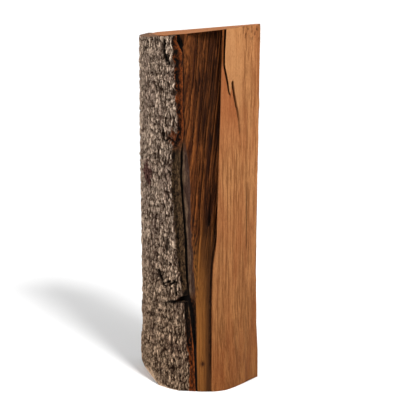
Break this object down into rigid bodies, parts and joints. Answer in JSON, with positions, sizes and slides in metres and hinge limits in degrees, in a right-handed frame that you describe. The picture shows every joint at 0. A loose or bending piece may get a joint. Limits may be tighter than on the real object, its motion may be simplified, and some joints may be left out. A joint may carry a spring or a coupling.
{
  "type": "split log",
  "caption": "Split firewood log standing on its sawn end: a wedge of pale wood with a torn split face and cracked grey bark on its round side.",
  "frame": {"origin": "middle of the log's footprint, on the surface that its sawn base stands on", "axes": "+Z along the grain, from the sawn base to the sawn top; -Y out of the open split face; -X towards the bark"},
  "size_m": [0.1338, 0.1152, 0.4035],
  "materials": {
    "wood": "dry split wood, rough along the grain, pale tan to dark brown",
    "bark": "dry flaky bark, matt grey-brown with dark furrows"
  },
  "bodies": {
    "root": {"split_wood": "wood", "bark_upper": "bark", "bark_lower": "bark"}
  },
  "joints": []
}
